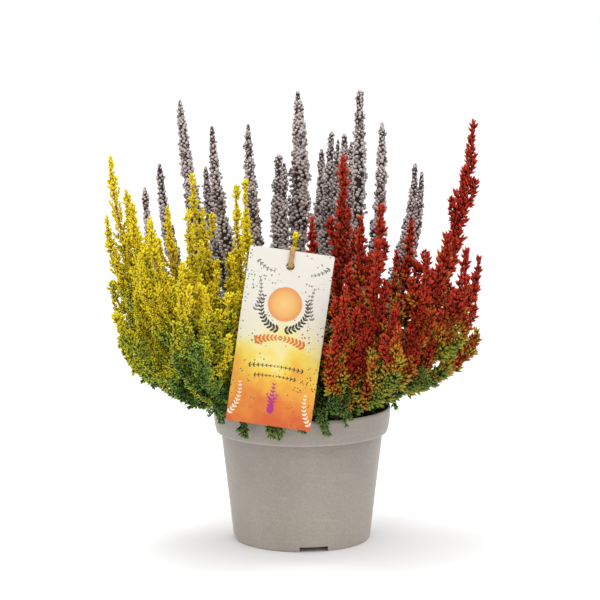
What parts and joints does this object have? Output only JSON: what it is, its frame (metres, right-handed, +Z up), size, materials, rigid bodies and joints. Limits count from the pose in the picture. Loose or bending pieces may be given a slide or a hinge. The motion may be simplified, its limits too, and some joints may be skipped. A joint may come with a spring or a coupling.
{
  "type": "potted heather",
  "caption": "Potted bud-bloomer heather of silver spikes, yellow plumes and red plumes in one round moulded pot, with a card tag tied to a stem.",
  "frame": {"origin": "on the pot's axis, on the surface that the pot stands on", "axes": "+Z up along the pot's axis, -Y towards the front with the tag, +X towards the red plumes"},
  "size_m": [0.2775, 0.2156, 0.325],
  "materials": {
    "pot_plastic": "satin",
    "peat": "matte",
    "tag_card": "satin",
    "tie_fibre": "matte",
    "silver_shoot": "matte",
    "yellow_shoot": "matte",
    "red_shoot": "matte",
    "green_shoot": "matte"
  },
  "bodies": {
    "root": {"pot": "pot_plastic", "soil": "peat", "tag": "tag_card", "tag_band": "tie_fibre", "silver_spike_01": "silver_shoot", "silver_spike_02": "silver_shoot", "silver_spike_03": "silver_shoot", "silver_spike_04": "silver_shoot", "silver_spike_05": "silver_shoot", "silver_spike_06": "silver_shoot", "silver_spike_07": "silver_shoot", "silver_spike_08": "silver_shoot", "silver_spike_09": "silver_shoot", "silver_spike_10": "silver_shoot", "silver_spike_11": "silver_shoot", "silver_spike_12": "silver_shoot", "silver_spike_13": "silver_shoot", "silver_spike_14": "silver_shoot", "silver_spike_15": "silver_shoot", "silver_spike_16": "silver_shoot", "silver_spike_17": "silver_shoot", "silver_spike_18": "silver_shoot", "silver_spike_19": "silver_shoot", "silver_spike_20": "silver_shoot", "yellow_plume_01": "yellow_shoot", "yellow_plume_02": "yellow_shoot", "yellow_plume_03": "yellow_shoot", "yellow_plume_04": "yellow_shoot", "yellow_plume_05": "yellow_shoot", "yellow_plume_06": "yellow_shoot", "yellow_plume_07": "yellow_shoot", "yellow_plume_08": "yellow_shoot", "yellow_plume_09": "yellow_shoot", "yellow_plume_10": "yellow_shoot", "yellow_plume_11": "yellow_shoot", "yellow_plume_12": "yellow_shoot", "yellow_plume_13": "yellow_shoot", "yellow_plume_14": "yellow_shoot", "yellow_plume_15": "yellow_shoot", "red_plume_01": "red_shoot", "red_plume_02": "red_shoot", "red_plume_03": "red_shoot", "red_plume_04": "red_shoot", "red_plume_05": "red_shoot", "red_plume_06": "red_shoot", "red_plume_07": "red_shoot", "red_plume_08": "red_shoot", "red_plume_09": "red_shoot", "red_plume_10": "red_shoot", "red_plume_11": "red_shoot", "red_plume_12": "red_shoot", "red_plume_13": "red_shoot", "red_plume_14": "red_shoot", "green_sprig_01": "green_shoot", "green_sprig_02": "green_shoot", "green_sprig_03": "green_shoot", "green_sprig_04": "green_shoot", "green_sprig_05": "green_shoot", "green_sprig_06": "green_shoot", "green_sprig_07": "green_shoot"}
  },
  "joints": []
}
